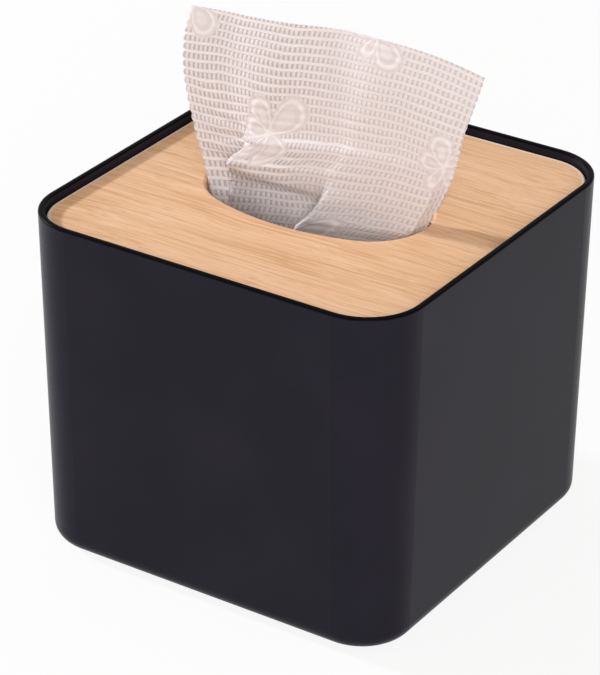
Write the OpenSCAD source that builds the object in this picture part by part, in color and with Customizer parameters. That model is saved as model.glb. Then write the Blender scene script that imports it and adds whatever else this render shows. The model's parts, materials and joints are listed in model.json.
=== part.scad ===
// Square tissue box cover for small interfolded tissues, in millimetres.
// A moulded case carries a wooden lid on a ledge inside its rim and stands on four pads.
// A part-used pack lies on its floor, and the top leaf stands up through the slot in the lid.
// The origin is the middle of the footprint, on the surface that the pads stand on.
// Z is up, the front faces -Y, and the lid's grain and the slot's long way run along X.

/* [Case] */
// Width of the case across its rim, along X
case_w = 110; // [104:1:130]
// Depth of the case across its rim, along Y
case_d = 110; // [104:1:130]
// Height of the rim above the surface that the pads stand on
case_h = 95; // [85:1:120]
// Plan radius of the four upright corners, at the rim
corner_r = 16; // [14:1:20]
// How far each side leans in between the rim and the underside
draft = 1.8; // [0.4:0.1:2.4]
// Thickness of the side walls where they meet the floor
wall_t = 2; // [1.6:0.1:2.6]
// Thickness of the floor
floor_t = 2.4; // [2:0.1:4]
// Radius of the rounded edge between the sides and the underside
under_edge_r = 4.5; // [2:0.1:5.5]
// Radius of the small fillet inside, between the walls and the floor
floor_edge_r = 1.5; // [0.5:0.1:2]

/* [Rim and ledge] */
// Thickness of the rim that stands round the lid
rim_t = 1.7; // [1.4:0.1:2.2]
// How far the rim stands above the lid
rim_stand = 2.2; // [1:0.1:4]
// Width of the ledge inside the rim that carries the lid
ledge_w = 1.7; // [1.2:0.1:2.4]
// Rounding of the rim's outer edge
rim_outer_r = 0.7; // [0.3:0.05:0.8]
// Rounding of the rim's inner edge
rim_inner_r = 0.5; // [0.2:0.05:0.5]
// Rounding of the ledge's inner edge
ledge_edge_r = 0.5; // [0.2:0.05:0.8]

/* [Lid] */
// Thickness of the wooden lid
lid_t = 6; // [4:0.1:9]
// Gap between the lid's edge and the rim, all round
lid_gap = 0.4; // [0.3:0.05:0.8]
// Rounding of the lid's outer edges
lid_edge_r = 0.6; // [0.2:0.05:1.2]
// Length of the slot in the lid, along X
slot_l = 62.4; // [58:0.2:68]
// Width of the slot in the lid, along Y
slot_w = 37.2; // [35:0.2:44]
// Radius of the slot's two ends
slot_end_r = 16; // [12:0.5:17]
// Rounding of the slot's edges
slot_edge_r = 0.9; // [0.3:0.05:1.5]

/* [Pads] */
// Diameter of the four pads under the case
pad_d = 12; // [8:0.5:13]
// Thickness of a pad
pad_t = 1.5; // [1.2:0.1:2.5]
// Depth of the recess that each pad is glued into
recess_t = 0.8; // [0.4:0.1:1]
// Gap round a pad in its recess
recess_gap = 0.2; // [0.1:0.05:0.4]
// Distance from the rim's line to a pad's centre, along X and along Y
pad_inset = 17.5; // [16:0.5:30]
// Rounding of a pad's lower edge
pad_edge_r = 0.4; // [0.1:0.05:0.6]

/* [Tissues] */
// Distance from the rim's line to the pack, on each of its four sides
side_room = 9; // [8:0.5:14]
// Radius of the pack's upper and lower edges, where the leaves fold over
pack_edge_r = 5; // [2:0.5:8]
// Depth of the grooves between the folds of the pack's leaves
pack_groove_d = 0.5; // [0.2:0.1:0.8]
// Height from one groove to the next
pack_groove_step = 6; // [4:0.5:10]
// Gap between the pack and the leaf that stands on it
leaf_rest_gap = 0.3; // [0.2:0.05:0.6]

/* [Pulled leaf] */
// Thickness that the standing leaf is drawn at
leaf_t = 0.5; // [0.4:0.05:0.6]
// How far the leaf's upper corners stand above the lid
leaf_out = 46; // [36:1:60]
// Rise of the leaf's upper edge above its corners
leaf_arch = 3.4; // [0:0.1:6]
// How much lower the upper right corner hangs than the left one
corner_drop = 1.5; // [0:0.1:4]
// How much further the leaf's right side has been pulled out of the pack
leaf_pull = 10; // [0:0.5:14]
// Depth below the lid's top at which the leaf begins to spread
neck_drop = 14; // [12:0.5:18]
// Distance from the slot's left end to the gathered leaf at that depth
neck_left_gap = 4.2; // [4:0.1:8]
// Distance from the slot's right end to the gathered leaf at that depth
neck_right_gap = 12.2; // [12:0.1:15]
// How far the left edge swings out above that depth
spread_left = 10.2; // [4:0.1:10.4]
// How far the right edge swings out above that depth
spread_right = 28.2; // [18:0.1:28.4]
// Distance of the left edge in front of the slot's middle
left_front = 6; // [3:0.1:7]
// Distance of the right edge in front of the slot's middle
right_front = 1; // [0:0.1:3]
// How far the leaf's belly leans out to the front above the lid
belly = 2.5; // [0:0.1:5]
// Width of the paper turned back in the left pleat, where the leaf is gathered
pleat_left_w = 12.5; // [10:0.5:13]
// Width of the paper turned back in the right pleat, where the leaf is gathered
pleat_right_w = 10.5; // [8:0.5:12]
// Length of paper that each turn of a pleat takes
pleat_turn_l = 3.4; // [2.8:0.1:4]

/* [Hidden] */

// Facets per turn of every true arc
$fn = 64;
// How far a cutting shape runs past what it cuts
overrun = 1;

// Heights, from the surface up
under_z = pad_t - recess_t;
floor_z = under_z + floor_t;
lid_top_z = case_h - rim_stand;
ledge_z = lid_top_z - lid_t;

// The wall's profile is measured outwards from the upright line through a corner's centre
under_s = corner_r - draft;
rim_in_s = corner_r - rim_t;
ledge_in_s = rim_in_s - ledge_w;
floor_in_s = under_s - wall_t;
outer_lean = atan(draft / (case_h - under_z));
inner_lean = atan((ledge_in_s - floor_in_s) / (ledge_z - floor_z));

// The lid follows the inside of the rim
lid_w = case_w - 2 * (rim_t + lid_gap);
lid_d = case_d - 2 * (rim_t + lid_gap);
lid_corner_r = rim_in_s - lid_gap;

// The slot is a four-centred oval: two end arcs, and two side arcs that run into them smoothly
end_x = slot_l / 2 - slot_end_r;
side_rise = slot_w / 2 - slot_end_r;
side_r = (end_x * end_x + pow(slot_w / 2, 2) - pow(slot_end_r, 2)) / (2 * side_rise);
side_y = side_r - slot_w / 2;
end_half_angle = atan2(side_y, end_x);
// Facets along each end, each side and each rounded edge of the slot
end_steps = 22;
side_steps = 14;
edge_steps = 4;

// A leaf is as wide as the pack, and its standing half is as long as the pack is deep. It reaches
// down to the pack, whose height is what is left under it
leaf_w = case_w - 2 * side_room;
leaf_half_l = case_d - 2 * side_room;
leaf_top_z = lid_top_z + leaf_out;
leaf_foot_z = leaf_top_z - leaf_half_l + leaf_rest_gap;
pack_top_z = leaf_foot_z - leaf_rest_gap;
pack_h = pack_top_z - floor_z;
neck_z = lid_top_z - neck_drop;

// Middle of each pleat, as shares of the leaf's width from its left edge
pleat_place_shares = [0.217, 0.657];
pleat_widths = [pleat_left_w, pleat_right_w];
// Height at which each pleat has half opened, as shares of the height from the neck to the top
pleat_open_shares = [0.4, 0.26];
// Half the height over which a pleat opens, the same kind of share
pleat_opening_share = 0.18;
// Angle that a closed pleat turns the paper through, and the angle of the soft wave left at the top
pleat_closed_angle = 158;
pleat_open_angle = 10;
// Share of a pleat's width that it loses on its way up, and the height share by which it has lost it
pleat_shrink_share = 0.55;
shrink_end_share = 0.5;
// Share of the leaf that the soft waves and their turns widen by at the top, and the height shares
// from which they do
wave_width_share = 0.174;
wave_from_share = 0.44;
turn_from_share = 0.33;
// Height of the belly and half its extent, as shares of the height from the neck to the top
belly_height_share = 0.42;
belly_extent_share = 0.2;
// Angle of the sine that the left edge follows, from the neck to the top
left_swing_angle = 120;
// Powers that shape the right edge's spread, the pulled side, the upper edge's arch and its low corner
spread_power = 0.6;
pull_power = 1.5;
arch_power = 1.8;
drop_power = 4;
// Steps across the leaf, the steps between plain columns and between columns in a pleat, and the
// rows up the leaf as shares
leaf_steps = 120;
plain_step = 8;
pleat_step = 2;
row_shares = [0, 0.16, 0.3, 0.38, 0.44, 0.49, 0.54, 0.59, 0.64, 0.7, 0.77, 0.85, 0.93, 1];

// Sweeps a wall profile round a rectangle with rounded corners; the profile's X is measured
// outwards from the corner centres
module swept_round(w, d, r) {
  for (side = [0:3]) {
    out = side % 2 == 0 ? w : d;
    along = side % 2 == 0 ? d : w;
    rotate([0, 0, 90 * side]) translate([out / 2 - r, along / 2 - r, 0]) {
      rotate_extrude(angle = 90) children();
      rotate([90, 0, 0]) linear_extrude(along - 2 * r) children();
    }
  }
}

// What is cut away to round a square corner that points to +X and +Y and sits at the origin
module edge_cut(r) {
  difference() {
    translate([-r, -r]) square(r + overrun);
    translate([-r, -r]) circle(r);
  }
}

// The corner that the rounded lower edge of the outer wall takes off
module under_edge_cut() {
  centre_z = under_z + under_edge_r;
  wall_s = under_s + (centre_z - under_z) * tan(outer_lean);
  centre_s = wall_s - under_edge_r / cos(outer_lean);
  touch = [centre_s + under_edge_r * cos(outer_lean), centre_z - under_edge_r * sin(outer_lean)];
  difference() {
    polygon([
      [centre_s, centre_z],
      [centre_s, under_z - overrun],
      [touch.x + overrun, under_z - overrun],
      [touch.x + overrun, touch.y],
      touch
    ]);
    translate([centre_s, centre_z]) circle(under_edge_r);
  }
}

// The material that fills the inner corner between the wall and the floor
module floor_edge_fill() {
  centre_z = floor_z + floor_edge_r;
  wall_s = floor_in_s + floor_edge_r * tan(inner_lean);
  centre_s = wall_s - floor_edge_r / cos(inner_lean);
  touch = [centre_s + floor_edge_r * cos(inner_lean), centre_z - floor_edge_r * sin(inner_lean)];
  difference() {
    polygon([[centre_s, floor_z], [floor_in_s, floor_z], touch, [centre_s, centre_z]]);
    translate([centre_s, centre_z]) circle(floor_edge_r);
  }
}

// Section through the case's wall, rim, ledge and the outer part of its floor
module case_profile() {
  difference() {
    polygon([
      [0, under_z],
      [under_s, under_z],
      [corner_r, case_h],
      [rim_in_s, case_h],
      [rim_in_s, ledge_z],
      [ledge_in_s, ledge_z],
      [floor_in_s, floor_z],
      [0, floor_z]
    ]);
    under_edge_cut();
    translate([corner_r, case_h]) edge_cut(rim_outer_r);
    translate([rim_in_s, case_h]) mirror([1, 0]) edge_cut(rim_inner_r);
    translate([ledge_in_s, ledge_z]) mirror([1, 0]) edge_cut(ledge_edge_r);
  }
  floor_edge_fill();
}

// Moulded case: drafted walls with a rebated rim, and a floor recessed for the pads
module case_shell() {
  core_w = case_w - 2 * corner_r;
  core_d = case_d - 2 * corner_r;
  color("#2d2b2f") difference() {
    union() {
      swept_round(case_w, case_d, corner_r) case_profile();
      translate([-core_w / 2, -core_d / 2, under_z]) cube([core_w, core_d, floor_t]);
    }
    at_each_pad() translate([0, 0, under_z - overrun])
      cylinder(d = pad_d + 2 * recess_gap, h = recess_t + overrun);
  }
}

// Section through the edge of the lid
module lid_profile() {
  difference() {
    translate([0, ledge_z]) square([lid_corner_r, lid_t]);
    translate([lid_corner_r, lid_top_z]) edge_cut(lid_edge_r);
    translate([lid_corner_r, ledge_z]) mirror([0, 1]) edge_cut(lid_edge_r);
  }
}

// Points along an arc, all but its last
function arc(centre, r, from, to, steps) = [for (i = [0:steps - 1])
  let (a = from + (to - from) * i / steps) centre + r * [cos(a), sin(a)]];

// Plan of the slot at a distance out from its wall, anticlockwise from the right end's lower join
function slot_plan(out) = let (e = end_half_angle, end_r = slot_end_r + out, long_r = side_r + out) concat(
  arc([end_x, 0], end_r, -e, e, end_steps),
  arc([0, -side_y], long_r, e, 180 - e, side_steps),
  arc([-end_x, 0], end_r, 180 - e, 180 + e, end_steps),
  arc([0, side_y], long_r, 180 + e, 360 - e, side_steps)
);

// Heights through the lid and the distance out from the slot's wall at each, with both edges rounded
slot_edge_levels = concat(
  [[slot_edge_r, ledge_z - overrun]],
  [for (i = [0:edge_steps]) let (a = 90 * i / edge_steps)
    [slot_edge_r * (1 - sin(a)), ledge_z + slot_edge_r * (1 - cos(a))]],
  [for (i = [0:edge_steps]) let (a = 90 * i / edge_steps)
    [slot_edge_r * (1 - cos(a)), lid_top_z - slot_edge_r * (1 - sin(a))]],
  [[slot_edge_r, lid_top_z + overrun]]
);

// Void of the slot, lofted through those plans
module slot_void() {
  rings = [for (level = slot_edge_levels) [for (p = slot_plan(level[0])) [p.x, p.y, level[1]]]];
  around = len(rings[0]);
  top = (len(rings) - 1) * around;
  walls = [for (j = [0:len(rings) - 2], i = [0:around - 1])
    let (k = j * around + i, n = j * around + (i + 1) % around) each split(k, k + around, n + around, n)];
  low_cap = [[for (i = [0:around - 1]) i]];
  high_cap = [[for (i = [around - 1:-1:0]) top + i]];
  polyhedron(points = [for (ring = rings) each ring], faces = concat(walls, low_cap, high_cap));
}

// Wooden lid with its oval slot
module lid_plate() {
  core_w = lid_w - 2 * lid_corner_r;
  core_d = lid_d - 2 * lid_corner_r;
  color("#e2b88f") difference() {
    union() {
      swept_round(lid_w, lid_d, lid_corner_r) lid_profile();
      translate([-core_w / 2, -core_d / 2, ledge_z]) cube([core_w, core_d, lid_t]);
    }
    slot_void();
  }
}

// Section through the pack, along Y, with the grooves between the folds of its leaves
module pack_profile() {
  half = leaf_half_l / 2;
  grooves = floor((pack_h - 2 * pack_edge_r) / pack_groove_step);
  first = pack_h / 2 - (grooves - 1) * pack_groove_step / 2;
  difference() {
    union() {
      translate([-half, pack_edge_r]) square([leaf_half_l, pack_h - 2 * pack_edge_r]);
      translate([pack_edge_r - half, 0]) square([leaf_half_l - 2 * pack_edge_r, pack_h]);
      for (side = [-1, 1], z = [pack_edge_r, pack_h - pack_edge_r])
        translate([side * (half - pack_edge_r), z]) circle(pack_edge_r);
    }
    for (side = [-1, 1], i = [0:grooves - 1])
      translate([side * half, first + i * pack_groove_step]) rotate(45)
        square(sqrt(2) * pack_groove_d, center = true);
  }
}

// Part-used pack of interfolded leaves, its cut ends to the left and right
module pack() {
  color("#efe7e2") translate([-leaf_w / 2, 0, floor_z])
    rotate([90, 0, 90]) linear_extrude(leaf_w) pack_profile();
}

// Smooth step from 0 to 1
function ease(x) = let (c = min(1, max(0, x))) c * c * (3 - 2 * c);

// Running sums of a list, starting from zero
function sums(list) = [for (i = 0, s = 0; i < len(list); s = s + list[i], i = i + 1) s];

// How open the leaf is at a height: 0 at its neck and below, 1 at its top
function openness(z) = max(0, (z - neck_z) / (leaf_top_z - neck_z));

// Height of a point of the leaf, a share u across it and a share v up it
function leaf_z(u, v) = let (
  low = leaf_foot_z + leaf_pull * pow(u, pull_power),
  high = leaf_top_z + leaf_arch * sin(180 * pow(u, arch_power)) - corner_drop * pow(u, drop_power)
) low + (high - low) * v;

// Width of paper turned in pleat p, and the length of paper in each of its turns
function pleat_width(p, open) = pleat_widths[p] * (1 - pleat_shrink_share * ease(open / shrink_end_share))
  + wave_width_share * leaf_w * ease((open - wave_from_share) / (1 - wave_from_share));
function pleat_turn(open) = pleat_turn_l
  + wave_width_share * leaf_w * ease((open - turn_from_share) / (1 - turn_from_share));

// Angle that pleat p turns the paper through
function pleat_angle(p, open) = pleat_open_angle + (pleat_closed_angle - pleat_open_angle)
  * (1 - ease((open - pleat_open_shares[p]) / (2 * pleat_opening_share) + 0.5));

// Heading of the paper in plan at a length s from its left edge
function heading(s, open) = let (turn = pleat_turn(open)) -(
  pleat_heading(0, s, open, turn) + pleat_heading(1, s, open, turn));
function pleat_heading(p, s, open, turn) = let (
  from = s - pleat_place_shares[p] * leaf_w,
  half = pleat_width(p, open) / 2
) pleat_angle(p, open) * (ease((from + half) / turn + 0.5) - ease((from - half) / turn + 0.5));

// Left and right edges of the leaf in plan
function left_edge(open) = [
  neck_left_gap - slot_l / 2 - spread_left * pow(sin(left_swing_angle * open), 2), -left_front
];
function right_edge(open) = [
  slot_l / 2 - neck_right_gap + spread_right * pow(open, spread_power), -right_front
];

// One row of the leaf in plan: the pleated section, drawn out to reach from edge to edge
function leaf_section(v) = let (
  open = openness(leaf_z(0, v)),
  step = leaf_w / leaf_steps,
  turns = [for (i = [0:leaf_steps]) heading(i * step, open)],
  xs = sums([for (a = turns) step * cos(a)]),
  ys = sums([for (a = turns) step * sin(a)]),
  left = left_edge(open),
  right = right_edge(openness(leaf_z(1, v))),
  stretch = (right.x - left.x) / xs[leaf_steps],
  lean = belly * exp(-pow((open - belly_height_share) / belly_extent_share, 2))
) [for (i = [0:leaf_steps]) let (u = i / leaf_steps) [
  left.x + stretch * xs[i],
  ys[i] - ys[leaf_steps] * u + left.y + (right.y - left.y) * u - lean * sin(180 * u)
]];

// Columns of the leaf, close together in the pleats and wide apart between them
function in_pleat(i) = max([for (p = [0, 1])
  abs(i / leaf_steps - pleat_place_shares[p]) * leaf_w < pleat_widths[p] / 2 + pleat_turn_l ? 1 : 0]) > 0;
columns = [for (i = [0:leaf_steps]) if (i % plain_step == 0 || in_pleat(i) && i % pleat_step == 0) i];

// Both faces of one row, half the leaf's thickness to each side
function row_points(v, side) = let (path = leaf_section(v)) [for (i = columns) let (
  along = path[min(i + 1, leaf_steps)] - path[max(i - 1, 0)],
  across = [-along.y, along.x] * side * leaf_t / (2 * norm(along))
) [path[i].x + across.x, path[i].y + across.y, leaf_z(i / leaf_steps, v)]];

// Two triangles of a four-sided face
function split(a, b, c, d) = [[a, b, c], [a, c, d]];

// The leaf that stands in the slot, gathered in two pleats and fanning out above the lid
module leaf() {
  across = len(columns);
  up = len(row_shares);
  back = across * up;
  front_points = [for (v = row_shares, p = row_points(v, -1)) p];
  back_points = [for (v = row_shares, p = row_points(v, 1)) p];
  front_faces = [for (j = [0:up - 2], i = [0:across - 2]) let (k = j * across + i)
    each split(k, k + across, k + across + 1, k + 1)];
  back_faces = [for (j = [0:up - 2], i = [0:across - 2]) let (k = back + j * across + i)
    each split(k, k + 1, k + across + 1, k + across)];
  foot_faces = [for (i = [0:across - 2]) each split(i, i + 1, back + i + 1, back + i)];
  top_faces = [for (i = [0:across - 2]) let (k = (up - 1) * across + i)
    each split(k, back + k, back + k + 1, k + 1)];
  left_faces = [for (j = [0:up - 2]) let (k = j * across)
    each split(k, back + k, back + k + across, k + across)];
  right_faces = [for (j = [0:up - 2]) let (k = j * across + across - 1)
    each split(k, k + across, back + k + across, back + k)];
  color("#e3d5cf") polyhedron(
    points = concat(front_points, back_points),
    faces = concat(front_faces, back_faces, foot_faces, top_faces, left_faces, right_faces));
}

// Places its children under each pad's centre
module at_each_pad() {
  for (x = [-1, 1], y = [-1, 1]) at_pad(x, y) children();
}
module at_pad(x, y) {
  translate([x * (case_w / 2 - pad_inset), y * (case_d / 2 - pad_inset), 0]) children();
}

// Round non-slip pad, glued into its recess
module pad(x, y) {
  color("#3a3a3c") at_pad(x, y) rotate_extrude() difference() {
    square([pad_d / 2, pad_t]);
    translate([pad_d / 2, 0]) mirror([0, 1]) edge_cut(pad_edge_r);
  }
}

case_shell();  // case
lid_plate();  // lid
pack();  // tissue_pack
leaf();  // pulled_sheet
pad(-1, -1);  // pad_front_left
pad(1, -1);  // pad_front_right
pad(-1, 1);  // pad_back_left
pad(1, 1);  // pad_back_right
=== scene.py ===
"""Looks of a square tissue box: a moulded case, a wooden lid and embossed tissue leaves.

Sizes are in millimetres in the dataclasses and become metres in the meshes. The origin is the middle of the
footprint, on the surface that the pads stand on; the front faces -Y and the lid's grain runs along X.
"""

from __future__ import annotations

import json
import logging
import math
from dataclasses import dataclass, field
from enum import Enum
from typing import Any

import bmesh
import bpy
import numpy as np
from mathutils import Matrix, Vector

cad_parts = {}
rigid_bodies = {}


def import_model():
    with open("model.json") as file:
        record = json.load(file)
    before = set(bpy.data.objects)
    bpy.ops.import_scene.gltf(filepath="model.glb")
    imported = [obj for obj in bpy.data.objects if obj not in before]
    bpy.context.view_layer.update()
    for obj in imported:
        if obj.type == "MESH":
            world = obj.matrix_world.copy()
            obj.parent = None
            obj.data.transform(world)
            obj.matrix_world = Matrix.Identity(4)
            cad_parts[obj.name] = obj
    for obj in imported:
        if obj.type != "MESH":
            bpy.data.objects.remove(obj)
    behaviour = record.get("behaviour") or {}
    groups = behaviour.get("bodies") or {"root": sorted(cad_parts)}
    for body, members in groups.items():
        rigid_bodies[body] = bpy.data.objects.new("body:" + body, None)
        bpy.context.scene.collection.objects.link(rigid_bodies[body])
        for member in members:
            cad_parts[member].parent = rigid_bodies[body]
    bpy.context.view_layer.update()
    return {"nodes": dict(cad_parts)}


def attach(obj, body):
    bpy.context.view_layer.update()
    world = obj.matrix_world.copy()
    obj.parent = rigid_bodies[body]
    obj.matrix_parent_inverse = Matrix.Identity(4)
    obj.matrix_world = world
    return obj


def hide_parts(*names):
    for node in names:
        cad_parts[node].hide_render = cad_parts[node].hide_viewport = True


MM = 0.001
log = logging.getLogger("tissue_box")

Rgba = tuple[float, float, float, float]
Tree = bpy.types.NodeTree
Socket = bpy.types.NodeSocket


class Body(Enum):
    """The bodies of the frame that new pieces ride on."""

    CASE = "case"
    LEAF = "leaf"


class MaterialSlot(Enum):
    """The record's material slot of the tissue."""

    TISSUE = "tissue"


def linear(colour: str) -> Rgba:
    """Turns an sRGB hex colour linear, by the curve of the sRGB standard.

    Args:
        colour: six hex digits after a hash sign.

    Returns:
        Red, green, blue and an alpha of 1, linear.
    """
    shares = (int(colour[i : i + 2], 16) / 255 for i in (1, 3, 5))
    red, green, blue = (c / 12.92 if c <= 0.04045 else ((c + 0.055) / 1.055) ** 2.4 for c in shares)
    return red, green, blue, 1.0


def add_node(
    tree: Tree,
    kind: str,
    settings: dict[str, Any] | None = None,
    inputs: dict[str | int, Any] | None = None,
) -> bpy.types.Node:
    """Adds a node with its settings and links.

    Args:
        tree: tree that the node goes into.
        kind: type of the node.
        settings: properties of the node by name.
        inputs: values by input name or index; a socket is linked.

    Returns:
        The new node.
    """
    node = tree.nodes.new(kind)
    for name, value in (settings or {}).items():
        setattr(node, name, value)
    for name, value in (inputs or {}).items():
        if isinstance(value, Socket):
            tree.links.new(value, node.inputs[name])
        else:
            node.inputs[name].default_value = value
    return node


def noise(tree: Tree, place: Socket, scale: float, detail: float, roughness: float = 0.5) -> bpy.types.Node:
    """Adds noise.

    Args:
        tree: tree that it goes into.
        place: where a point lies.
        scale: features per unit of the place.
        detail: how many finer layers it has.
        roughness: how strong the finer layers are.

    Returns:
        The Noise node.
    """
    inputs = {"Vector": place, "Scale": scale, "Detail": detail, "Roughness": roughness}
    return add_node(tree, "ShaderNodeTexNoise", {}, inputs)


def calculate(tree: Tree, operation: str, *values: Socket | float) -> Socket:
    """Adds a calculation with numbers.

    Args:
        tree: tree that it goes into.
        operation: the Math node's operation.
        values: its inputs, in order.

    Returns:
        The result.
    """
    node = add_node(tree, "ShaderNodeMath", {"operation": operation}, dict(enumerate(values)))
    return node.outputs["Value"]


def calculate_vector(tree: Tree, operation: str, *values: Socket | tuple[float, float, float]) -> Socket:
    """Adds a calculation with vectors.

    Args:
        tree: tree that it goes into.
        operation: the Vector Math node's operation.
        values: its inputs, in order.

    Returns:
        The result, a number for LENGTH and else a vector.
    """
    node = add_node(tree, "ShaderNodeVectorMath", {"operation": operation}, dict(enumerate(values)))
    return node.outputs["Value" if operation == "LENGTH" else "Vector"]


def coordinates(tree: Tree, vector: Socket) -> bpy.types.NodeOutputs:
    """Splits a vector; the result gives its coordinates by the names X, Y and Z."""
    return add_node(tree, "ShaderNodeSeparateXYZ", {}, {0: vector}).outputs


def map_range(
    tree: Tree,
    value: Socket,
    start: float,
    end: float,
    low: float = 0.0,
    high: float = 1.0,
    smooth: bool = True,
) -> Socket:
    """Adds a way from one value to another, level before its start and after its end.

    Args:
        tree: tree that it goes into.
        value: what it depends on.
        start: the value at which it starts.
        end: the value at which it ends.
        low: result at the start.
        high: result at the end.
        smooth: whether it is a smooth step and not a straight line.

    Returns:
        The result.
    """
    inputs = {"Value": value, "From Min": start, "From Max": end, "To Min": low, "To Max": high}
    kind = "SMOOTHSTEP" if smooth else "LINEAR"
    return add_node(tree, "ShaderNodeMapRange", {"interpolation_type": kind}, inputs).outputs["Result"]


def mix(tree: Tree, share: Socket, first: Any, second: Any, kind: str = "RGBA") -> Socket:
    """Adds a mix of two colours or numbers.

    Args:
        tree: tree that it goes into.
        share: share of the second one.
        first: a socket, linear colour or number.
        second: the same.
        kind: RGBA for colours and FLOAT for numbers.

    Returns:
        The result.
    """
    inputs = {"Factor": share, "A": first, "B": second}
    return add_node(tree, "ShaderNodeMix", {"data_type": kind}, inputs).outputs["Result"]


def ramp(tree: Tree, value: Socket, stops: list[tuple[float, Rgba]], easing: str = "LINEAR") -> Socket:
    """Adds a colour ramp.

    Args:
        tree: tree that it goes into.
        value: what it depends on.
        stops: position and linear colour of each stop, in order.
        easing: how it goes from stop to stop.

    Returns:
        The colour.
    """
    node = add_node(tree, "ShaderNodeValToRGB", {}, {"Fac": value})
    node.color_ramp.interpolation = easing
    elements = node.color_ramp.elements
    while len(elements) < len(stops):
        elements.new(1.0)
    for element, (position, colour) in zip(elements, stops):
        element.position = position
        element.color = colour
    return node.outputs["Color"]


def bump(tree: Tree, height: Socket, depth_mm: float, strength: float) -> Socket:
    """Adds relief.

    Args:
        tree: tree that it goes into.
        height: height at a point, in any unit.
        depth_mm: what a height of 1 stands for, in millimetres.
        strength: strength of the relief.

    Returns:
        The changed normal.
    """
    inputs = {"Height": height, "Distance": depth_mm * MM, "Strength": strength}
    return add_node(tree, "ShaderNodeBump", {}, inputs).outputs["Normal"]


def principled(tree: Tree, colour: Socket, roughness: Any, specular: Any, normal: Socket) -> Socket:
    """Adds the shader of an opaque surface that isn't metal.

    Args:
        tree: tree that it goes into.
        colour: base colour.
        roughness: a socket or number.
        specular: level of the reflection, a socket or number.
        normal: the normal with its relief.

    Returns:
        The shader.
    """
    inputs = {"Base Color": colour, "Roughness": roughness, "Specular IOR Level": specular, "Normal": normal}
    return add_node(tree, "ShaderNodeBsdfPrincipled", {}, inputs).outputs["BSDF"]


def new_material(name: str) -> tuple[bpy.types.Material, Tree]:
    """Makes a material with an empty node tree.

    Args:
        name: name of the material.

    Returns:
        The material and its tree.
    """
    material = bpy.data.materials.new(name)
    material.use_nodes = True
    material.node_tree.nodes.clear()
    return material, material.node_tree


def show(tree: Tree, shader: Socket) -> None:
    """Makes a shader the surface of its material."""
    add_node(tree, "ShaderNodeOutputMaterial", {}, {"Surface": shader})


def deselect_all() -> None:
    """Deselects every object, so that an operator acts only on what is picked next."""
    for obj in bpy.context.view_layer.objects:
        obj.select_set(False)


def select_only(obj: bpy.types.Object) -> None:
    """Selects one object and makes it active."""
    deselect_all()
    obj.select_set(True)
    bpy.context.view_layer.objects.active = obj


def dress(obj: bpy.types.Object, material: bpy.types.Material) -> None:
    """Gives all of an object one material.

    Args:
        obj: a new piece or a CAD node.
        material: its material.
    """
    if not obj.material_slots:
        obj.data.materials.append(material)
    for material_slot in obj.material_slots:
        material_slot.material = material


def ease(x: np.ndarray | float) -> np.ndarray | float:
    """Smooth step from 0 to 1."""
    c = np.clip(x, 0.0, 1.0)
    return c * c * (3 - 2 * c)


@dataclass(frozen=True)
class SatinPlastic:
    """Black ABS, injection moulded in a lightly spark-eroded mould, which leaves a satin skin.

    The skin has grains of about 0.2 mm. They are drawn at 0.5 mm, the finest that still shows. The rim's top
    is painted a deeper black, as painted shade, and it reflects less.
    """

    name: str = "satin_moulded_abs"
    body: str = "#1C1A22"
    pale: str = "#211E27"
    # painted shade: the deeper black of the rim's top
    painted_rim_shade: str = "#0B0A0D"
    roughness: float = 0.32
    roughness_spread: tuple[float, float] = (-0.05, 0.06)
    specular: float = 0.07
    rim_top_specular: float = 0.015
    rim_from_mm: float = 94.3
    rim_to_mm: float = 94.7
    grain_mm: float = 0.5
    cloud_mm: float = 30.0
    grain_height_mm: float = 0.012
    grain_strength: float = 0.6

    def build(self) -> bpy.types.Material:
        """Builds the material.

        Returns:
            The finished material.
        """
        material, tree = new_material(self.name)
        place = add_node(tree, "ShaderNodeTexCoord").outputs["Object"]
        cloud = noise(tree, place, 1 / (self.cloud_mm * MM), 3.0).outputs["Fac"]
        colour = ramp(tree, cloud, [(0.35, linear(self.body)), (0.7, linear(self.pale))])
        height = coordinates(tree, place)["Z"]
        # The rim's top gets painted shade, a deeper black, and a lower reflection level
        rim = map_range(tree, height, self.rim_from_mm * MM, self.rim_to_mm * MM)
        skin = mix(tree, rim, colour, linear(self.painted_rim_shade))
        sheen = map_range(tree, rim, 0.0, 1.0, self.specular, self.rim_top_specular, smooth=False)
        grain = noise(tree, place, 1 / (self.grain_mm * MM), 2.0).outputs["Fac"]
        smoothest, roughest = (self.roughness + change for change in self.roughness_spread)
        rough = map_range(tree, grain, 0.0, 1.0, smoothest, roughest, smooth=False)
        normal = bump(tree, grain, self.grain_height_mm, self.grain_strength)
        show(tree, principled(tree, skin, rough, sheen, normal))
        return material


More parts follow.
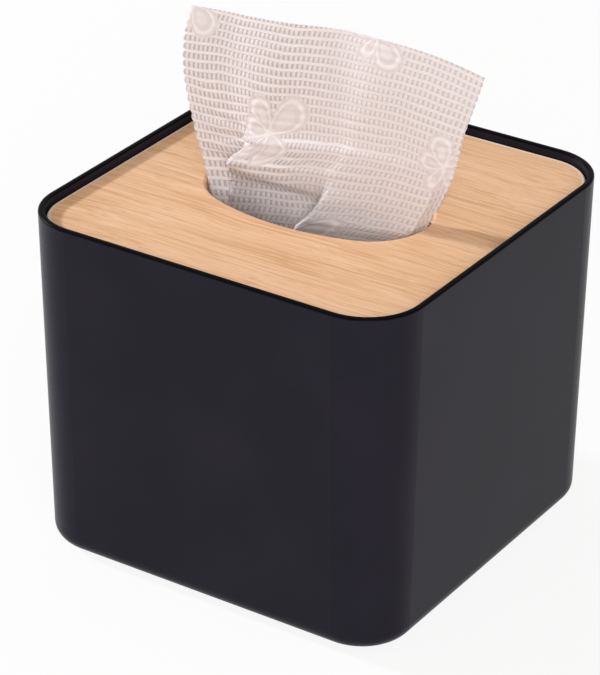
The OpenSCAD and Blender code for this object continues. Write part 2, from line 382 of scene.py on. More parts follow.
@dataclass(frozen=True)
class OakVeneer:
    """Pale oak, sawn and sanded along the grain and wiped with a matt clear coat that hardly shines.

    The growth lines are about 1 mm apart in broad bands of about 9 mm. The open pores are dark ticks about
    0.3 mm wide and 7 mm long, and are drawn coarser, at 0.4 mm by 8 mm. The lid's sanded top edge is paler,
    partly because it takes less of the coat and partly as a painted highlight on its rounded edge.
    """

    name: str = "sanded_oak"
    light: str = "#EBC19B"
    middle: str = "#E2B48B"
    dark: str = "#D4A378"
    pore: str = "#BE8C62"
    # paler sanded edge, partly a painted highlight on the rounded edge
    sanded_edge_highlight: str = "#F8E2CB"
    line_mm: float = 0.95
    band_mm: float = 9.0
    band_share: float = 0.4
    run_mm: float = 42.0
    drift_mm: float = 6.0
    pore_w_mm: float = 0.42
    pore_l_mm: float = 8.0
    pore_levels: tuple[float, float] = (0.6, 0.74)
    pore_share: float = 0.45
    relief_mm: float = 0.06
    half_mm: float = 52.9
    corner_mm: float = 13.9
    edge_mm: float = 1.5
    edge_share: float = 0.8
    edge_full_mm: float = 0.4
    top_mm: float = 92.8
    roughness: float = 0.7
    specular: float = 0.2

    def build(self) -> bpy.types.Material:
        """Builds the material.

        Returns:
            The finished material.
        """
        material, tree = new_material(self.name)
        place = add_node(tree, "ShaderNodeTexCoord").outputs["Object"]
        drift = noise(tree, place, 1 / (self.run_mm * MM), 2.0).outputs["Color"]
        reach = (0.0, self.drift_mm * MM, self.drift_mm * MM)
        bent = calculate_vector(tree, "MULTIPLY_ADD", drift, reach, place)
        lines = self._stretched(tree, bent, self.run_mm, self.line_mm, 4.0)
        bands = self._stretched(tree, bent, self.run_mm * 2, self.band_mm, 2.0)
        pores = self._stretched(tree, bent, self.pore_l_mm, self.pore_w_mm, 1.0)
        both = calculate(tree, "MULTIPLY_ADD", bands, self.band_share, lines)
        stops = [(0.5, linear(self.dark)), (0.66, linear(self.middle)), (0.86, linear(self.light))]
        ticks = map_range(tree, pores, *self.pore_levels, 0.0, self.pore_share)
        marked = mix(tree, ticks, ramp(tree, both, stops), linear(self.pore))
        # The top edge is painted paler: partly less coat, partly a painted highlight
        sanded = mix(tree, self._edge(tree, place), marked, linear(self.sanded_edge_highlight))
        normal = bump(tree, calculate(tree, "SUBTRACT", lines, ticks), self.relief_mm, 0.5)
        show(tree, principled(tree, sanded, self.roughness, self.specular, normal))
        return material

    def _stretched(
        self, tree: Tree, place: Socket, along_mm: float, across_mm: float, detail: float
    ) -> Socket:
        """Adds noise that is drawn out along the grain.

        Args:
            tree: tree that it goes into.
            place: where a point lies, in metres.
            along_mm: size of its features along X.
            across_mm: size of its features across the grain.
            detail: detail of the noise.

        Returns:
            The noise, 0 to 1.
        """
        scale = (1 / (along_mm * MM), 1 / (across_mm * MM), 1 / (across_mm * MM))
        sized = calculate_vector(tree, "MULTIPLY", place, scale)
        return noise(tree, sized, 1.0, detail, 0.55).outputs["Fac"]

    def _edge(self, tree: Tree, place: Socket) -> Socket:
        """Adds a mask of the lid's paler top outer edge, partly a painted highlight, from the distance to
        its outline in plan and its height.

        Args:
            tree: tree that it goes into.
            place: where a point lies, in metres.

        Returns:
            The mask, highest on the edge and 0 inside.
        """
        reach = (self.half_mm - self.corner_mm) * MM
        mirrored = calculate_vector(tree, "ABSOLUTE", place)
        past = calculate_vector(tree, "SUBTRACT", mirrored, (reach, reach, 1.0))
        outside = calculate_vector(tree, "MAXIMUM", past, (0.0, 0.0, 0.0))
        distance = calculate_vector(tree, "LENGTH", outside)
        inner = (self.corner_mm - self.edge_mm) * MM
        outer = (self.corner_mm - self.edge_mm / 3) * MM
        mask = map_range(tree, distance, inner, outer, 0.0, self.edge_share)
        lower = (self.top_mm - self.edge_mm) * MM
        upper = (self.top_mm - self.edge_full_mm) * MM
        height = coordinates(tree, place)["Z"]
        return calculate(tree, "MULTIPLY", mask, map_range(tree, height, lower, upper))


@dataclass(frozen=True)
class Petal:
    """One looped petal of the embossed sprig: an oval outline that starts at the sprig's middle."""

    angle_deg: float
    length_mm: float
    width_mm: float


@dataclass(frozen=True)
class EmbossedPaper:
    """Two-ply tissue, creped and embossed between steel rollers, soft, matt and a little see-through.

    Raised ridges run across the leaf 2.36 mm apart, with rows of short dimples between them, 1.5 mm apart.
    Sprigs of looped petals stand in staggered rows. The fibres' clouds of about 1 mm mottle it faintly.
    Its colour follows the height: painted light on what is raised, painted shade in the dimples and grooves.
    """

    name: str = "embossed_tissue"
    # Colours by height: painted light on the ridges, the paper's own tone, painted shade in the dimples
    ridge: str = "#F9F3F0"
    ground: str = "#EFE7E5"
    dimple_shade: str = "#D3C7C5"
    width_mm: float = 92.0
    length_mm: float = 92.0
    # Ridges and dimples, by the cosine of the place in their row or column
    row_mm: float = 2.36
    column_mm: float = 1.5
    ridge_cosines: tuple[float, float] = (-0.1, 0.75)
    stem_cosines: tuple[float, float] = (-0.9, 0.5)
    stem_level: float = 0.62
    sway_mm: float = 0.5
    sway_per_mm: float = 0.07
    # The pattern is flatter towards the right, in its relief and in its painted shade
    flattening: float = 0.3
    flat_level: float = 0.62
    flat_from_mm: float = 30.0
    flat_to_mm: float = 56.0
    # Sprigs
    sprig_pitch_mm: float = 60.0
    sprig_row_mm: float = 31.5
    sprig_shift_mm: float = 28.0
    sprig_from_mm: tuple[float, float] = (28.5, 61.0)
    petals: tuple[Petal, ...] = (
        Petal(34.0, 13.5, 6.6),
        Petal(108.0, 8.6, 4.8),
        Petal(-46.0, 9.2, 5.6),
        Petal(168.0, 6.4, 3.6),
        Petal(246.0, 6.0, 2.8),
    )
    # Relative width of a petal at its root, where it is as wide as stated, and at its tip
    taper: tuple[float, float, float] = (1.3, 3.0, 4.2)
    petal_middle: float = 1.08
    line_mm: float = 0.4
    line_reach: float = 5.0
    # Height across a petal's line, from inside to outside, and where the petal fades out
    line_levels: tuple[tuple[float, float], ...] = (
        (0.1, 0.6),
        (0.3, 0.15),
        (0.5, 1.0),
        (0.7, 0.15),
        (0.8, 0.4),
    )
    fade: tuple[float, float] = (0.65, 0.85)
    fibres_per_mm: float = 0.9
    fibre_share: float = 0.25
    relief_mm: float = 0.22
    roughness: float = 0.85
    specular: float = 0.2
    through: float = 0.36

    def build(self) -> bpy.types.Material:
        """Builds the material, which reads the piece's own UV map.

        Returns:
            The finished material.
        """
        material, tree = new_material(self.name)
        uv = add_node(tree, "ShaderNodeTexCoord").outputs["UV"]
        leaf = calculate_vector(tree, "MULTIPLY", uv, (self.width_mm, self.length_mm, 0.0))
        sway = noise(tree, leaf, self.sway_per_mm, 1.0).outputs["Color"]
        amounts = (2 * self.sway_mm, 4 * self.sway_mm, 0.0)
        swayed = calculate_vector(tree, "MULTIPLY_ADD", sway, amounts, leaf)
        across = coordinates(tree, leaf)["X"]
        # Flatter towards the right: less relief and less painted shade there
        soft = map_range(tree, across, self.flat_from_mm, self.flat_to_mm, 0.0, self.flattening)
        waffle = mix(tree, soft, self._waffle(tree, swayed), self.flat_level, "FLOAT")
        raised, within = self._sprigs(tree, leaf)
        height = mix(tree, within, waffle, raised, "FLOAT")
        fibres = noise(tree, leaf, self.fibres_per_mm, 3.0).outputs["Fac"]
        rough_height = calculate(tree, "MULTIPLY_ADD", fibres, self.fibre_share, height)
        # Colour by height: painted light on what is raised, painted shade in the dimples and grooves
        stops = [(0.0, linear(self.dimple_shade)), (0.45, linear(self.ground)), (1.0, linear(self.ridge))]
        colour = ramp(tree, height, stops)
        normal = bump(tree, rough_height, self.relief_mm, 1.0)
        paper = principled(tree, colour, self.roughness, self.specular, normal)
        passing = add_node(tree, "ShaderNodeBsdfTranslucent", {}, {"Color": colour, "Normal": normal})
        layers = {0: self.through, 1: paper, 2: passing.outputs["BSDF"]}
        show(tree, add_node(tree, "ShaderNodeMixShader", {}, layers).outputs["Shader"])
        return material

    def _waffle(self, tree: Tree, leaf: Socket) -> Socket:
        """Adds the height of the ridges and of the dimples between them.

        Args:
            tree: tree that it goes into.
            leaf: where a point lies on the flat leaf, in millimetres.

        Returns:
            The height, 1 on the ridges and 0 in the dimples.
        """
        per_mm = (math.tau / self.column_mm, math.tau / self.row_mm, 0.0)
        turns = coordinates(tree, calculate_vector(tree, "MULTIPLY", leaf, per_mm))
        across = calculate(tree, "COSINE", turns["X"])
        up = calculate(tree, "COSINE", turns["Y"])
        ridge = map_range(tree, up, *self.ridge_cosines)
        stem = map_range(tree, across, *self.stem_cosines, 0.0, self.stem_level)
        return calculate(tree, "MAXIMUM", ridge, stem)

    def _sprigs(self, tree: Tree, leaf: Socket) -> tuple[Socket, Socket]:
        """Adds the sprigs of looped petals in staggered rows.

        Args:
            tree: tree that they go into.
            leaf: where a point lies on the flat leaf, in millimetres.

        Returns:
            The height of the petals and the mask of what they cover.
        """
        moved = coordinates(tree, calculate_vector(tree, "SUBTRACT", leaf, (*self.sprig_from_mm, 0.0)))
        row = calculate(tree, "MULTIPLY_ADD", moved["Y"], 1 / self.sprig_row_mm, 0.5)
        shift = calculate(tree, "MULTIPLY", calculate(tree, "FLOOR", row), self.sprig_shift_mm)
        along = calculate(tree, "ADD", moved["X"], shift)
        column = calculate(tree, "MULTIPLY_ADD", along, 1 / self.sprig_pitch_mm, 0.5)
        shares = [calculate(tree, "FRACT", number) for number in (column, row)]
        local = add_node(tree, "ShaderNodeCombineXYZ", {}, {0: shares[0], 1: shares[1]}).outputs["Vector"]
        pitch = (self.sprig_pitch_mm, self.sprig_row_mm, 0.0)
        to_middle = (-self.sprig_pitch_mm / 2, -self.sprig_row_mm / 2, 0.0)
        centred = calculate_vector(tree, "MULTIPLY_ADD", local, pitch, to_middle)
        raised: Socket | float = 0.0
        within: Socket | float = 0.0
        for petal in self.petals:
            height, cover = self._petal(tree, centred, petal)
            raised = calculate(tree, "MAXIMUM", raised, height)
            within = calculate(tree, "MAXIMUM", within, cover)
        return raised, within

    def _petal(self, tree: Tree, centred: Socket, petal: Petal) -> tuple[Socket, Socket]:
        """Adds one petal: narrow at its root, round at its end, with a groove on both sides of its line.

        Args:
            tree: tree that it goes into.
            centred: where a point lies from the sprig's middle, in millimetres.
            petal: the petal's direction and size.

        Returns:
            Its height and the mask of what it covers.
        """
        turning = {"Vector": centred, "Angle": math.radians(-petal.angle_deg)}
        turn = add_node(tree, "ShaderNodeVectorRotate", {"rotation_type": "Z_AXIS"}, turning)
        turned = coordinates(tree, turn.outputs["Vector"])
        root, stated, tip = self.taper
        width = map_range(tree, turned["X"], 0.0, petal.length_mm, root, tip, smooth=False)
        side = calculate(tree, "DIVIDE", turned["Y"], width)
        shaped = add_node(tree, "ShaderNodeCombineXYZ", {}, {0: turned["X"], 1: side}).outputs["Vector"]
        scale = (2 / petal.length_mm, 2 * stated / petal.width_mm, 0.0)
        scaled = calculate_vector(tree, "MULTIPLY_ADD", shaped, scale, (-self.petal_middle, 0.0, 0.0))
        size = calculate_vector(tree, "LENGTH", scaled)
        reach = self.line_reach * 2 * self.line_mm / petal.width_mm
        place = map_range(tree, size, 1 - reach, 1 + reach, smooth=False)
        stops = [(position, (level, level, level, 1.0)) for position, level in self.line_levels]
        return ramp(tree, place, stops, "EASE"), map_range(tree, place, *self.fade, 1.0, 0.0)


@dataclass(frozen=True)
class PadRubber:
    """Dark grey rubber, die-cut from sheet, matt and faintly mottled in grains of about 0.6 mm."""

    name: str = "die_cut_rubber"
    body: str = "#38383A"
    pale: str = "#444446"
    grain_mm: float = 0.6
    grain_height_mm: float = 0.05
    roughness: float = 0.8
    specular: float = 0.4

    def build(self) -> bpy.types.Material:
        """Builds the material.

        Returns:
            The finished material.
        """
        material, tree = new_material(self.name)
        place = add_node(tree, "ShaderNodeTexCoord").outputs["Object"]
        grain = noise(tree, place, 1 / (self.grain_mm * MM), 3.0).outputs["Fac"]
        colour = ramp(tree, grain, [(0.35, linear(self.body)), (0.7, linear(self.pale))])
        normal = bump(tree, grain, self.grain_height_mm, 0.6)
        show(tree, principled(tree, colour, self.roughness, self.specular, normal))
        return material


@dataclass
class PulledLeaf:
    """The leaf that stands in the slot: gathered in two pleats at its neck and fanning out above the lid.

    A share of the height runs from the neck at 0 to the top at 1, and is 0 below the neck.
    """

    # Heights of the foot, neck and top, the top's arch and how far the right side is pulled up
    width: float = 92.0
    foot_z: float = 47.1
    neck_z: float = 78.8
    top_z: float = 138.8
    arch: float = 3.4
    arch_power: float = 1.8
    corner_drop: float = 1.5
    drop_power: int = 4
    pull: float = 10.0
    pull_power: float = 1.5
    # Places of the left and right edges
    neck_left_x: float = -27.0
    neck_right_x: float = 18.4
    spread_left: float = 10.2
    swing_deg: float = 120.0
    spread_right: float = 29.2
    spread_power: float = 0.6
    left_y: float = -6.0
    left_neck_y: float = -8.6
    right_y: float = -1.4
    right_neck_y: float = -2.6
    settled_share: float = 0.6
    # Belly to the front, and the right edge that curls to the back above the neck
    belly: float = 0.4
    belly_share: float = 0.42
    belly_run: float = 0.2
    curl_w: float = 6.4
    curl_turn: float = 2.0
    curl_deg: float = 76.0
    curl_rise: float = 0.12
    curl_fall_from: float = 0.25
    curl_fall_run: float = 0.5
    # Paper turned back under a crease, which runs between two points of length across and height
    recess: float = 2.4
    edge_recess: float = 0.6
    recess_from: tuple[float, float] = (25.0, 100.2)
    recess_to: tuple[float, float] = (52.0, 96.8)
    recess_start_run: float = 12.0
    recess_end_run: float = 5.0
    crease_run: float = 4.5
    # Fan of wrinkles beside the left pleat, by angle in radians and distance from its point
    wrinkle: float = 0.35
    wrinkle_at: tuple[float, float] = (27.0, 60.5)
    fan_angle: float = -0.1
    fan_half: float = 0.75
    fan_rise: float = 6.0
    fan_fall_from: float = 14.0
    fan_fall_run: float = 12.0
    fan_lines: int = 24
    # The left and the right pleat, and the soft waves they end in
    pleat_places: tuple[float, float] = (0.217, 0.607)
    pleat_widths: tuple[float, float] = (12.5, 5.3)
    pleat_opens: tuple[float, float] = (0.41, 0.19)
    pleat_openings: tuple[float, float] = (0.09, 0.13)
    pleat_turn: float = 3.4
    forward: float = 3.4
    closed_deg: float = 158.0
    open_deg: float = 10.0
    shrink: float = 0.55
    shrink_run: float = 0.5
    wave: float = 16.0
    wave_from: float = 0.44
    turn_from: float = 0.33
    # Thickness, ridges and the ragged side edges
    thickness: float = 0.22
    ridge_height: float = 0.1
    row_mm: float = 2.36
    fray: float = 0.12
    fray_share: float = 1 / 60
    steps_across: int = 150
    steps_up: int = 250
    fine_steps: int = 1200

    def openness(self, z: np.ndarray) -> np.ndarray:
        """How open the leaf is at a height: 0 at the neck and below, 1 at the top."""
        return np.maximum(0.0, (z - self.neck_z) / (self.top_z - self.neck_z))

    def height(self, u: np.ndarray, v: np.ndarray) -> np.ndarray:
        """Height of a point.

        Args:
            u: share across the leaf.
            v: share up the leaf.

        Returns:
            Its height, in millimetres.
        """
        low = self.foot_z + self.pull * u**self.pull_power
        arched = self.arch * np.sin(np.pi * u**self.arch_power)
        high = self.top_z + arched - self.corner_drop * u**self.drop_power
        return low + (high - low) * v

    def headings(self, s: np.ndarray, opened: np.ndarray) -> np.ndarray:
        """Direction of the paper in plan, from its two pleats and the curl at its right edge.

        Args:
            s: length from the left edge, a row.
            opened: how open the leaf is, a column.

        Returns:
            The heading at each length and row, in radians.
        """
        turn = self.pleat_turn + self.wave * ease((opened - self.turn_from) / (1 - self.turn_from))
        total = np.zeros((opened.shape[0], s.shape[1]))
        for number, place in enumerate(self.pleat_places):
            wide, angle = self.pleat(number, opened)
            start = s - place * self.width
            back = ease((start + wide / 2) / turn + 0.5) - ease((start - wide / 2) / turn + 0.5)
            total -= angle * back
        uncurled = ease((opened - self.curl_fall_from) / self.curl_fall_run)
        curl = self.curl_deg * ease(opened / self.curl_rise) * (1 - uncurled)
        total += curl * ease((s - self.width + self.curl_w) / self.curl_turn)
        return np.radians(total)

    def pleat(self, number: int, opened: np.ndarray) -> tuple[np.ndarray, np.ndarray]:
        """How wide a pleat is and how far it turns.

        Args:
            number: 0 for the left pleat and 1 for the right one.
            opened: how open the leaf is.

        Returns:
            The pleat's width in millimetres and its angle in degrees.
        """
        wide = self.pleat_widths[number] * (1 - self.shrink * ease(opened / self.shrink_run))
        wide = wide + self.wave * ease((opened - self.wave_from) / (1 - self.wave_from))
        closing = 1 - ease((opened - self.pleat_opens[number]) / (2 * self.pleat_openings[number]) + 0.5)
        return wide, self.open_deg + (self.closed_deg - self.open_deg) * closing

    def held_back(self, s: np.ndarray, opened: np.ndarray) -> np.ndarray:
        """Share of its own depth that a pleat keeps as it opens, so that its layers stay close together.

        Args:
            s: length from the left edge, a row.
            opened: how open the leaf is, a column.

        Returns:
            The share at each length and row.
        """
        pleats = [self.pleat(number, opened) for number in (0, 1)]
        left, right = (wide * np.sin(np.radians(angle)) for wide, angle in pleats)
        middle = sum(self.pleat_places) / 2 * self.width
        depth = left + (right - left) * ease((s - middle) / self.pleat_turn + 0.5)
        return np.minimum(1.0, self.forward / depth)

    def grid(self) -> np.ndarray:
        """Works out the points of the leaf's middle surface.

        Returns:
            Points by row and column, in millimetres.
        """
        u = np.linspace(0, 1, self.fine_steps + 1)[None, :]
        v = np.linspace(0, 1, self.steps_up + 1)[:, None]
        opened = self.openness(self.height(np.zeros_like(v), v))
        opened_right = self.openness(self.height(np.ones_like(v), v))
        heading = self.headings(u * self.width, opened)
        step = self.width / self.fine_steps
        x = np.cumsum(np.cos(heading), 1) * step
        y = np.cumsum(np.sin(heading) * self.held_back(u * self.width, opened), 1) * step
        x -= x[:, :1]
        y -= y[:, :1]
        left = self.neck_left_x - self.spread_left * np.sin(np.radians(self.swing_deg * opened)) ** 2
        right = self.neck_right_x + self.spread_right * opened_right**self.spread_power
        # Each row is drawn in or out to reach from edge to edge
        x = left + x * (right - left) / x[:, -1:]
        lean = self.belly * np.exp(-(((opened - self.belly_share) / self.belly_run) ** 2))
        settled = ease(opened / self.settled_share)
        left_y = self.left_neck_y + (self.left_y - self.left_neck_y) * settled
        right_y = self.right_neck_y + (self.right_y - self.right_neck_y) * settled
        flat_end = 1 - self.curl_w / self.width
        end_y = y[:, [round(flat_end * self.fine_steps)]]
        y = y + left_y + (right_y - left_y - end_y) * u / flat_end - lean * np.sin(np.pi * u)
        z = self.height(u, v)
        y += self.creasing(u * self.width, v * self.width, z)
        ragged = ease((np.abs(u - 0.5) - 0.5) / self.fray_share + 1) * np.sign(u - 0.5)
        x += self.fray * ragged * np.cos(math.tau * v * self.width / self.row_mm)
        pick = np.round(np.linspace(0, self.fine_steps, self.steps_across + 1)).astype(int)
        return np.stack([x, y, z], -1)[:, pick]

    def creasing(self, s: np.ndarray, t: np.ndarray, z: np.ndarray) -> np.ndarray:
        """How far the paper turns back under the crease above the slot, and the wrinkles by the left pleat.

        Args:
            s: length across the flat leaf.
            t: length up the flat leaf.
            z: height of each point.

        Returns:
            The way back from the front, in millimetres.
        """
        (s0, z0), (s1, z1) = self.recess_from, self.recess_to
        line = z0 + (z1 - z0) * (s - s0) / (s1 - s0)
        depth = self.edge_recess + (self.recess - self.edge_recess) * ease(s / self.recess_start_run)
        beside = 1 - ease((s - s1) / self.recess_end_run)
        under = depth * beside * (1 - ease((z - line) / self.crease_run + 1))
        across, up = s - self.wrinkle_at[0], t - self.wrinkle_at[1]
        angle, reach = np.arctan2(up, -across), np.hypot(across, up)
        fan = 1 - ease(np.abs(angle - self.fan_angle) / self.fan_half)
        fan = fan * ease(reach / self.fan_rise)
        fan = fan * (1 - ease((reach - self.fan_fall_from) / self.fan_fall_run))
        return under - self.wrinkle * fan * np.cos(angle * self.fan_lines)

    def emboss(self, points: np.ndarray) -> np.ndarray:
        """Raises the rows of ridges along the surface's normal.

        Args:
            points: points by row and column, in millimetres.

        Returns:
            The raised points.
        """
        along = np.gradient(points, axis=1)
        up = np.gradient(points, axis=0)
        normal = np.cross(along, up)
        normal /= np.linalg.norm(normal, axis=-1, keepdims=True)
        v = np.linspace(0, 1, points.shape[0])[:, None]
        ridge = self.ridge_height * np.cos(math.tau * v * self.width / self.row_mm)
        return points + normal * ridge[..., None]

    def build(self, material: bpy.types.Material) -> bpy.types.Object:
        """Builds the leaf with its UV map and gives it its thickness.

        Args:
            material: the paper.

        Returns:
            The finished piece.
        """
        points = self.emboss(self.grid()) * MM
        rows, columns = points.shape[:2]
        k = (np.arange(rows - 1)[:, None] * columns + np.arange(columns - 1)).ravel()
        faces = np.stack([k, k + 1, k + columns + 1, k + columns], 1)
        mesh = bpy.data.meshes.new("pulled_leaf")
        mesh.from_pydata(points.reshape(-1, 3).tolist(), [], faces.tolist())
        shares = np.broadcast_arrays(np.linspace(0, 1, columns)[None, :], np.linspace(0, 1, rows)[:, None])
        uv = np.stack(shares, -1).reshape(-1, 2)
        layer = mesh.uv_layers.new(name="leaf")
        layer.data.foreach_set("uv", uv[faces.ravel()].astype(np.float32).ravel())
        obj = bpy.data.objects.new("pulled_leaf", mesh)
        bpy.context.scene.collection.objects.link(obj)
        select_only(obj)
        solid = obj.modifiers.new("thickness", "SOLIDIFY")
        solid.thickness = self.thickness * MM
        solid.offset = 0.0
        bpy.ops.object.modifier_apply(modifier=solid.name)
        bpy.ops.object.shade_smooth()
        dress(obj, material)
        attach(obj, Body.LEAF.value)
        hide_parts("pulled_sheet")
        log.info("pulled leaf: %d faces", len(obj.data.polygons))
        return obj


@dataclass
class LeafPack:
    """The leaves that are left: a stack of leaves folded over each other, its folds to front and back."""

    width: float = 92.0
    depth: float = 92.0
    floor_z: float = 3.1
    top_z: float = 46.8
    layers: int = 38
    fold_steps: int = 4
    fold_share: float = 0.49
    smooth_deg: float = 40.0
    # How uneven the stack is, and the turns by which its two sides vary from leaf to leaf
    stagger: float = 0.5
    depth_turn: float = 2.4
    width_turn: float = 1.7

    def build(self, material: bpy.types.Material) -> bpy.types.Object:
        """Builds each folded leaf of the stack and joins them.

        Args:
            material: the paper.

        Returns:
            The finished piece.
        """
        rise = (self.top_z - self.floor_z) / self.layers
        leaves = [self._leaf(i, rise) for i in range(self.layers)]
        deselect_all()
        for leaf in leaves:
            leaf.select_set(True)
        bpy.context.view_layer.objects.active = leaves[0]
        bpy.ops.object.join()
        pack = leaves[0]
        pack.name = pack.data.name = "leaf_pack"
        select_only(pack)
        bpy.ops.object.transform_apply(location=True, rotation=True, scale=True)
        bpy.ops.object.shade_smooth_by_angle(angle=math.radians(self.smooth_deg))
        dress(pack, material)
        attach(pack, Body.CASE.value)
        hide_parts("tissue_pack")
        log.info("leaf pack: %d layers, %d faces", self.layers, len(pack.data.polygons))
        return pack

    def _leaf(self, number: int, rise: float) -> bpy.types.Object:
        """Makes one folded leaf of the stack, with rounded folds and a UV map in the leaf's own plan.

        Args:
            number: place in the stack, from the bottom.
            rise: height of one leaf, in millimetres.

        Returns:
            The leaf, in place.
        """
        inset = self.stagger * (1 + math.sin(self.depth_turn * number)) / 2
        depth = self.depth - 2 * inset
        width = self.width - self.stagger * (1 + math.sin(self.width_turn * number + 1)) / 2
        deselect_all()
        bpy.ops.mesh.primitive_cube_add(
            size=1.0,
            location=(0, 0, (self.floor_z + rise * (number + 0.5)) * MM),
            scale=(width * MM, depth * MM, rise * MM),
        )
        leaf = bpy.context.active_object
        bpy.ops.object.transform_apply(location=True, rotation=True, scale=True)
        bpy.ops.object.mode_set(mode="EDIT")
        shape = bmesh.from_edit_mesh(leaf.data)
        for edge in shape.edges:
            low, high = edge.verts
            along_x = abs(low.co.x - high.co.x) > 0.5 * self.width * MM
            edge.select_set(along_x)
        bmesh.update_edit_mesh(leaf.data)
        bpy.ops.mesh.bevel(offset=self.fold_share * rise * MM, segments=self.fold_steps, affect="EDGES")
        bpy.ops.object.mode_set(mode="OBJECT")
        layer = leaf.data.uv_layers.active or leaf.data.uv_layers.new(name="leaf")
        layer.name = "leaf"
        for loop in leaf.data.loops:
            place = leaf.data.vertices[loop.vertex_index].co / MM
            layer.data[loop.index].uv = (place.x / self.width + 0.5, place.y / self.depth + 0.5)
        return leaf


@dataclass
class DressedFrame:
    """The CAD nodes that stay in view and their finishes."""

    nodes: dict[str, bpy.types.Object]
    case_finish: SatinPlastic = field(default_factory=SatinPlastic)
    lid_finish: OakVeneer = field(default_factory=OakVeneer)
    pad_finish: PadRubber = field(default_factory=PadRubber)
    pad_nodes: tuple[str, ...] = ("pad_front_left", "pad_front_right", "pad_back_left", "pad_back_right")

    def build(self) -> None:
        """Dresses the case, the lid and the pads."""
        dress(self.nodes["case"], self.case_finish.build())
        dress(self.nodes["lid"], self.lid_finish.build())
        rubber = self.pad_finish.build()
        for name in self.pad_nodes:
            dress(self.nodes[name], rubber)
        log.info("dressed case, lid and %d pads", len(self.pad_nodes))


@dataclass
class PhotoCamera:
    """The camera at the photograph's viewing angle."""

    azimuth_deg: float = 33.35
    elevation_deg: float = 28.31
    roll_deg: float = 0.35
    distance: float = 876.68
    focal_px: float = 3396.29
    image_px: tuple[int, int] = (600, 675)
    aim_z: float = 47.5
    aim_right: float = -4.6
    aim_up: float = 4.4
    sensor: float = 36.0
    clip_m: tuple[float, float] = (0.05, 20.0)

    def build(self) -> bpy.types.Object:
        """Makes the camera and gives it to the scene.

        Returns:
            The camera.
        """
        a, e, r = (math.radians(d) for d in (self.azimuth_deg, self.elevation_deg, self.roll_deg))
        back = Vector((math.sin(a) * math.cos(e), -math.cos(a) * math.cos(e), math.sin(e)))
        level = Vector((math.cos(a), math.sin(a), 0.0))
        upright = back.cross(level)
        right = math.cos(r) * level + math.sin(r) * upright
        up = -math.sin(r) * level + math.cos(r) * upright
        aim = Vector((0, 0, self.aim_z)) + self.aim_right * right + self.aim_up * up
        place = aim + self.distance * back
        data = bpy.data.cameras.new("photo_camera")
        data.sensor_width = self.sensor
        data.lens = self.focal_px * self.sensor / max(self.image_px)
        data.clip_start, data.clip_end = self.clip_m
        camera = bpy.data.objects.new("photo_camera", data)
        bpy.context.scene.collection.objects.link(camera)
        axes = Matrix((right, up, back)).transposed().to_4x4()
        camera.matrix_world = Matrix.Translation(place * MM) @ axes
        bpy.context.scene.camera = camera
        log.info("camera at %s mm, lens %.1f mm", tuple(round(c, 1) for c in place), data.lens)
        return camera


@dataclass
class SoftLamp:
    """A square studio lamp aimed at a point; azimuth is measured from +X towards +Y."""

    name: str
    azimuth_deg: float
    elevation_deg: float
    distance: float
    size: float
    watts: float
    colour: str
    aim: tuple[float, float, float] = (0.0, 0.0, 80.0)

    def build(self) -> bpy.types.Object:
        """Makes the lamp.

        Returns:
            The lamp.
        """
        a, e = math.radians(self.azimuth_deg), math.radians(self.elevation_deg)
        towards = Vector((math.cos(a) * math.cos(e), math.sin(a) * math.cos(e), math.sin(e)))
        data = bpy.data.lights.new(self.name, "AREA")
        data.shape = "SQUARE"
        data.size = self.size * MM
        data.energy = self.watts
        data.color = linear(self.colour)[:3]
        lamp = bpy.data.objects.new(self.name, data)
        bpy.context.scene.collection.objects.link(lamp)
        lamp.location = (Vector(self.aim) + towards * self.distance) * MM
        lamp.rotation_euler = towards.to_track_quat("Z", "Y").to_euler()
        return lamp


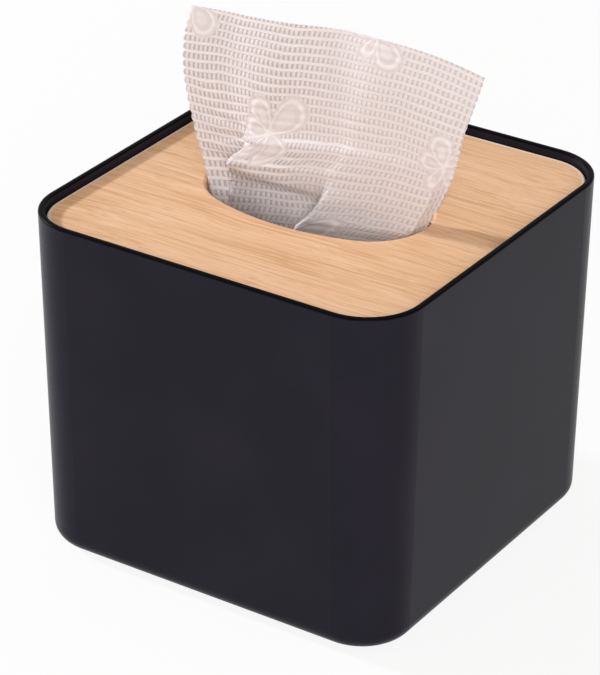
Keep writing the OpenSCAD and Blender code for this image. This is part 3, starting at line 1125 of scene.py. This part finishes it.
@dataclass
class Studio:
    """Pale floor, white surroundings and two low soft lamps, a small left one and a large front one."""

    floor_size: float = 6000.0
    floor_drop: float = 0.05
    floor_colour: str = "#F3F1EE"
    background: str = "#FFFFFF"
    room_light: str = "#F6F1EA"
    room_strength: float = 0.5
    floor_white: float = 0.88
    lamps: tuple[SoftLamp, ...] = (
        SoftLamp("key_lamp", 186.0, 22.0, 2200.0, 150.0, 52.0, "#EFF5FF"),
        SoftLamp("front_lamp", 308.0, 21.5, 1300.0, 600.0, 9.6, "#F8F9FF"),
    )

    def build(self) -> None:
        """Makes the floor, the surroundings and the lamps."""
        self._floor()
        self._surroundings()
        for lamp in self.lamps:
            lamp.build()
        bpy.context.scene.view_settings.view_transform = "Standard"
        log.info("studio with %d lamps", len(self.lamps))

    def _seen(self, tree: Tree) -> Socket:
        """Adds the mask of the rays that show the background: camera, glossy and transmission rays.

        Args:
            tree: tree that it goes into.

        Returns:
            The mask.
        """
        path = add_node(tree, "ShaderNodeLightPath").outputs
        mirrored = calculate(tree, "MAXIMUM", path["Is Camera Ray"], path["Is Glossy Ray"])
        return calculate(tree, "MAXIMUM", mirrored, path["Is Transmission Ray"])

    def _floor(self) -> None:
        """Makes the floor, which turns white in view but keeps the object's shadow."""
        deselect_all()
        bpy.ops.mesh.primitive_plane_add(size=self.floor_size * MM, location=(0, 0, -self.floor_drop * MM))
        floor = bpy.context.active_object
        floor.name = "studio_floor"
        material, tree = new_material("pale_floor")
        matt = add_node(tree, "ShaderNodeBsdfDiffuse", {}, {"Color": linear(self.floor_colour)})
        white = add_node(tree, "ShaderNodeEmission", {}, {"Color": linear(self.background), "Strength": 1.0})
        share = calculate(tree, "MULTIPLY", self._seen(tree), self.floor_white)
        layers = {0: share, 1: matt.outputs["BSDF"], 2: white.outputs["Emission"]}
        show(tree, add_node(tree, "ShaderNodeMixShader", {}, layers).outputs["Shader"])
        dress(floor, material)

    def _surroundings(self) -> None:
        """Makes the world: white in view, and a soft even light on the object."""
        world = bpy.data.worlds.new("studio_room")
        world.use_nodes = True
        tree = world.node_tree
        tree.nodes.clear()
        light, white = (
            add_node(tree, "ShaderNodeBackground", {}, {"Color": linear(colour), "Strength": strength})
            for colour, strength in ((self.room_light, self.room_strength), (self.background, 1.0))
        )
        layers = {0: self._seen(tree), 1: light.outputs["Background"], 2: white.outputs["Background"]}
        mixed = add_node(tree, "ShaderNodeMixShader", {}, layers).outputs["Shader"]
        add_node(tree, "ShaderNodeOutputWorld", {}, {"Surface": mixed})
        bpy.context.scene.world = world


def main() -> None:
    """Builds the object's looks in order."""
    logging.basicConfig(level=logging.INFO, format="%(name)s: %(message)s")
    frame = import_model()
    PhotoCamera().build()
    Studio().build()
    DressedFrame(frame["nodes"]).build()
    paper = EmbossedPaper().build()
    LeafPack().build(paper)
    PulledLeaf().build(paper)


if __name__ == "__main__":
    main()
